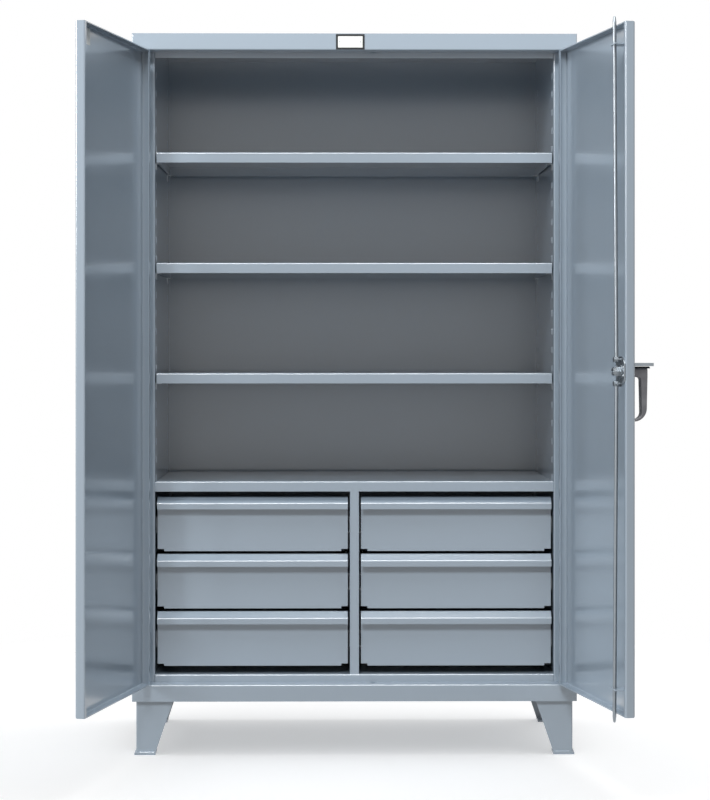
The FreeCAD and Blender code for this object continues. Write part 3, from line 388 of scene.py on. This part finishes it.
def framedPlate(look):
    low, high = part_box("name_plate")
    shape = bmesh.new()
    rows = []
    outer, inner = -look["lap"], look["line"] - look["lap"]
    crest = low.y - look["proud"]
    for inset, y in ((outer, high.y), (outer, crest), (inner, crest), (inner, low.y)):
        corners = ((low.x + inset, low.z + inset), (high.x - inset, low.z + inset),
                   (high.x - inset, high.z - inset), (low.x + inset, high.z - inset))
        rows.append([shape.verts.new((x, y, z)) for x, z in corners])
    joinRings(shape, rows + rows[:1])
    darkLook = plateEnamel | {"colour": look["lineColour"], "shade": look["lineShade"]}
    dark = stoveEnamel("stoveEnamelSlate", darkLook)
    placePiece("namePlateFrame", shape, "plate_enamel", "cabinet", material=dark)
    rivets = bmesh.new()
    for x in (low.x + look["rivetInset"], high.x - look["rivetInset"]):
        domeHead(rivets, (x, low.y, (low.z + high.z) / 2), (0, -1, 0), look["rivet"], headShape)
    shadeSmooth(placePiece("namePlateRivets", rivets, "zinc_plate", "cabinet"), look["smooth"])


framedPlate(plateTrim)

# latch: castle nut on the spindle's thread and bolt heads round it, drawn with the right door shut
latchTrim = {
    "centre": (0.0351, 1.0560),     # m, spindle's x and z
    "camFace": -0.2756,     # m
    "nutFace": -0.2656,     # m, top of the flanged nut
    "nutRadius": 0.0122,    # m, to the corners of the hexagon
    "nutHeight": 0.0062,    # m
    "chamfer": 0.0009,      # m
    "crown": (0.0066, 0.0100),      # m, inside and outside of the castle
    "crownHeight": 0.0034,  # m
    "teeth": 6,
    "toothTurn": 40,        # degrees
    "toothSteps": 4,
    "thread": 0.0058,       # m, rounded end of the spindle
    "boltRing": 0.0258,     # m
    "bolt": 0.0046,         # m, radius of a head
    "boltTurns": (24, 156, 204, 336),   # degrees, clear of the rods' eyes
    "smooth": 35,           # degrees
}


def ringOf(shape, centre, y, radius, turns):
    x, z = centre
    return [shape.verts.new((x + radius * math.cos(t), y, z + radius * math.sin(t))) for t in turns]


def latchNut(look):
    centre = look["centre"]
    top = look["nutFace"] + look["nutHeight"]
    shape = bmesh.new()
    corners = [math.pi / 3 * k for k in range(6)]
    profile = ((look["nutFace"], look["nutRadius"]), (top - look["chamfer"], look["nutRadius"]),
               (top, look["nutRadius"] - look["chamfer"]))
    closedTube(shape, [ringOf(shape, centre, y, radius, corners) for y, radius in profile])
    inside, outside = look["crown"]
    high = top + look["crownHeight"]
    half = math.radians(look["toothTurn"]) / 2
    for n in range(look["teeth"]):
        middle = 2 * math.pi * (n + 0.5) / look["teeth"]
        turns = [middle - half + 2 * half * k / look["toothSteps"] for k in range(look["toothSteps"] + 1)]
        edges = [ringOf(shape, centre, y, radius, turns)
                 for y, radius in ((top, inside), (top, outside), (high, outside), (high, inside))]
        closedTube(shape, list(zip(*edges)))
    x, z = centre
    domeHead(shape, (x, top, z), (0, 1, 0), look["thread"], headShape)
    for turn in look["boltTurns"]:
        across, up = math.cos(math.radians(turn)), math.sin(math.radians(turn))
        spot = (x + look["boltRing"] * across, look["camFace"], z + look["boltRing"] * up)
        domeHead(shape, spot, (0, 1, 0), look["bolt"], headShape)
    shadeSmooth(placePiece("latchCastleNut", shape, "zinc_plate", "handle", "right"), look["smooth"])


latchNut(latchTrim)

# inspection label: blank paper under clear film, inside the left door near its top
label = {
    "size": (0.038, 0.042), # m
    "edge": 0.078,          # m, in from the door's free edge
    "top": 0.006,           # m, down from the door's top
    "thickness": 0.0002,    # m
    "corner": 0.003,        # m
    "cornerSteps": 5,
    "gauge": 0.00266,       # m, the door's sheet
    "free": 0.0015,         # m, door's free edge from the middle of the cabinet
}


def blankLabel(look):
    width, height = look["size"]
    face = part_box("header")[0].y + look["gauge"]
    right = -look["free"] - look["edge"]
    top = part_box("left_door_pan")[1].z - look["top"]
    shape = bmesh.new()
    outline = []
    left, bottom = right - width, top - height
    for k, (x, z) in enumerate(((right, top), (left, top), (left, bottom), (right, bottom))):
        inX = x + (-1 if k in (0, 3) else 1) * look["corner"]
        inZ = z + (-1 if k < 2 else 1) * look["corner"]
        for step in range(look["cornerSteps"]):
            around = math.pi / 2 * (k + step / (look["cornerSteps"] - 1))
            outline.append((inX + look["corner"] * math.cos(around), inZ + look["corner"] * math.sin(around)))
    back = [shape.verts.new((x, face, z)) for x, z in outline]
    front = [shape.verts.new((x, face + look["thickness"], z)) for x, z in outline]
    closedTube(shape, [back, front])
    placePiece("blankLabel", shape, "plate_enamel", "left_door", "left")


blankLabel(label)

# shelf slots: the punch leaves a rounded burr round each slot
slotRim = {
    "size": (0.005, 0.016), # m, slot's width and height
    "first": 0.7535,        # m, floor to the lowest slot
    "pitch": 0.0508,        # m
    "count": 23,
    "inset": 0.040,         # m, slot column from the shelf's ends
    "tube": 0.0009,         # m
    "round": 20,
    "around": 6,
    "smooth": 60,           # degrees
}


def slotRims(look):
    low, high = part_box("lower_shelf")
    width, height = look["size"]
    for side, out in sides.items():
        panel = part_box(side + "_inner_panel")
        wall = panel[0].x if out > 0 else panel[1].x
        shape = bmesh.new()
        for y in (low.y + look["inset"], high.y - look["inset"]):
            for n in range(look["count"]):
                z = look["first"] + n * look["pitch"]
                rings = []
                for k in range(look["round"]):
                    around = 2 * math.pi * k / look["round"]
                    away = Vector((0, math.cos(around), math.sin(around)))
                    lift = (height - width) / 2 * (1 if away.z >= 0 else -1)
                    spot = Vector((wall, y, z + lift)) + away * (width / 2 + look["tube"])
                    row = []
                    for t in range(look["around"]):
                        turn = 2 * math.pi * t / look["around"]
                        lean = away * math.cos(turn) + Vector((-out, 0, 0)) * math.sin(turn)
                        row.append(shape.verts.new(spot + look["tube"] * lean))
                    rings.append(row)
                joinRings(shape, rings + rings[:1])
        shadeSmooth(placePiece(side + "SlotRims", shape, "blue_grey_paint", "cabinet"), look["smooth"])


slotRims(slotRim)
print("plate, latch nut, label and slot rims placed")


def seenRays(tree):
    # 1 for what the eye, mirrors and glass see, 0 for light on its way to the object
    ray = addNode(tree, "ShaderNodeLightPath")
    seen = addNode(tree, "ShaderNodeMath", {"operation": "MAXIMUM"}, {
        0: ray.outputs["Is Camera Ray"], 1: ray.outputs["Is Glossy Ray"]})
    return addNode(tree, "ShaderNodeMath", {"operation": "MAXIMUM"}, {
        0: seen.outputs["Value"], 1: ray.outputs["Is Transmission Ray"]}).outputs["Value"]


# floor: a pale disc that fades into the white surround
floorLook = {
    "radius": 7.0,          # m
    "corners": 96,
    "fade": (1.1, 2.6),     # m from the middle
    "colour": "#F2F2F2",
    "shade": "#F6F6F6",
    "toneSize": 900,        # mm
    "roughness": 0.9,
    "bounce": "#DCDCDC",    # what the object gets back from it
    "lift": 0.44,           # light that the eye alone gets from it, so that shadows stay pale
}


def paleFloor(look):
    bpy.ops.mesh.primitive_circle_add(
        vertices=look["corners"], radius=look["radius"], fill_type="NGON", location=(0, 0, 0))
    disc = bpy.context.object
    disc.name = "paleFloor"
    material, tree, shader, place = startMaterial("paleFloorPaint")
    reach = addNode(tree, "ShaderNodeVectorMath", {"operation": "LENGTH"}, {0: place})
    near, far = look["fade"]
    gone = addNode(tree, "ShaderNodeMapRange", {"interpolation_type": "SMOOTHSTEP"}, {
        "Value": reach.outputs["Value"], "From Min": near, "From Max": far, "To Min": 1.0, "To Max": 0.0})
    tone = addNode(tree, "ShaderNodeTexNoise", None, {
        "Vector": place, "Scale": perMetre(look["toneSize"]), "Detail": 2.0})
    tint = addNode(tree, "ShaderNodeMix", {"data_type": "RGBA"}, {
        0: tone.outputs["Fac"], 6: linear(look["colour"]), 7: linear(look["shade"])})
    seen = seenRays(tree)
    shown = addNode(tree, "ShaderNodeMix", {"data_type": "RGBA"}, {
        0: seen, 6: linear(look["bounce"]), 7: tint.outputs[2]})
    lift = addNode(tree, "ShaderNodeMath", {"operation": "MULTIPLY"}, {0: seen, 1: look["lift"]})
    tree.links.new(shown.outputs[2], shader.inputs["Base Color"])
    tree.links.new(lift.outputs["Value"], shader.inputs["Emission Strength"])
    shader.inputs["Emission Color"].default_value = (1, 1, 1, 1)
    tree.links.new(gone.outputs["Result"], shader.inputs["Alpha"])
    shader.inputs["Roughness"].default_value = look["roughness"]
    shader.inputs["Specular IOR Level"].default_value = 0.0
    disc.data.materials.append(material)
    return disc


# studio: softboxes high in front, to the left and overhead, and a white surround; two more light the
# floor alone: the whole object shades the far one, its base the wide one, for a soft patch under it
studio = {
    "surround": 0.07,       # strength that lights the object; the eye and mirrors see 1
    "lamps": {
        "frontSoftbox": {"at": (-1.7, -6.2, 6.2), "to": (0, -0.3, 0.7), "size": (3.2, 1.6), "watts": 500},
        "leftSoftbox": {"at": (-5.6, -2.9, 2.9), "to": (0.6, -0.6, 1.35), "size": (1.2, 2.2), "watts": 250},
        "topSoftbox": {"at": (0.9, -1.3, 5.0), "to": (0.2, -0.6, 0), "size": (2.4, 1.6), "watts": 158},
        "floorSoftbox": {"at": (0.6, 0.2, 9.0), "to": (0, 0, 0), "size": (3.2, 6.0), "watts": 190,
                         "floor": True},
        "baseSoftbox": {"at": (2.2, 0.6, 4.0), "to": (2.2, 0.6, 0), "size": (13, 12), "watts": 295,
                        "floor": True,
                        "shadeFrom": ("bottom_panel", "sill", "foot_plates", "front_left_leg",
                                      "front_right_leg", "rear_left_leg", "rear_right_leg")},
    },
}


def lightStudio(look, floor):
    world = bpy.data.worlds.new("whiteSurround")
    bpy.context.scene.world = world
    world.use_nodes = True
    tree = world.node_tree
    level = addNode(tree, "ShaderNodeMapRange", None, {
        "Value": seenRays(tree), "To Min": look["surround"], "To Max": 1.0})
    tree.links.new(level.outputs["Result"], tree.nodes["Background"].inputs["Strength"])
    tree.nodes["Background"].inputs["Color"].default_value = (1, 1, 1, 1)
    for name, lamp in look["lamps"].items():
        data = bpy.data.lights.new(name, "AREA")
        data.shape = "RECTANGLE"
        data.size, data.size_y = lamp["size"]
        data.energy = lamp["watts"]
        light = bpy.data.objects.new(name, data)
        bpy.context.scene.collection.objects.link(light)
        light.location = lamp["at"]
        aim = Vector(lamp["to"]) - light.location
        light.rotation_euler = aim.to_track_quat("-Z", "Y").to_euler()
        lit = bpy.data.collections.new(name + "Lit")
        lit.objects.link(floor)
        light.light_linking.receiver_collection = lit
        lit.collection_objects[0].light_linking.link_state = "INCLUDE" if lamp.get("floor") else "EXCLUDE"
        if "shadeFrom" in lamp:
            shade = bpy.data.collections.new(name + "Shade")
            for node in lamp["shadeFrom"]:
                shade.objects.link(nodes[node])
            light.light_linking.blocker_collection = shade


lightStudio(studio, paleFloor(floorLook))
print("floor and lamps set")

# camera: level, at the photograph's place, with its height in the frame set by a small shift
view = {
    "at": (-0.0653, -6.4975, 1.1144),
    "turn": -0.0107,        # radians, to the right
    "focal": 2262.2,        # pixels
    "eyeLine": 348.1,       # pixels from the top
    "image": (710, 800),
    "sensor": 36.0,
}


def aimCamera(look):
    data = bpy.data.cameras.new("photoCamera")
    width, height = look["image"]
    data.sensor_width = look["sensor"]
    data.lens = look["focal"] * look["sensor"] / height
    data.shift_y = (look["eyeLine"] - height / 2) / height
    camera = bpy.data.objects.new("photoCamera", data)
    bpy.context.scene.collection.objects.link(camera)
    camera.location = look["at"]
    camera.rotation_euler = (math.pi / 2, 0, look["turn"])
    bpy.context.scene.camera = camera


aimCamera(view)
bpy.context.scene.view_settings.view_transform = "Standard"
print("camera set")
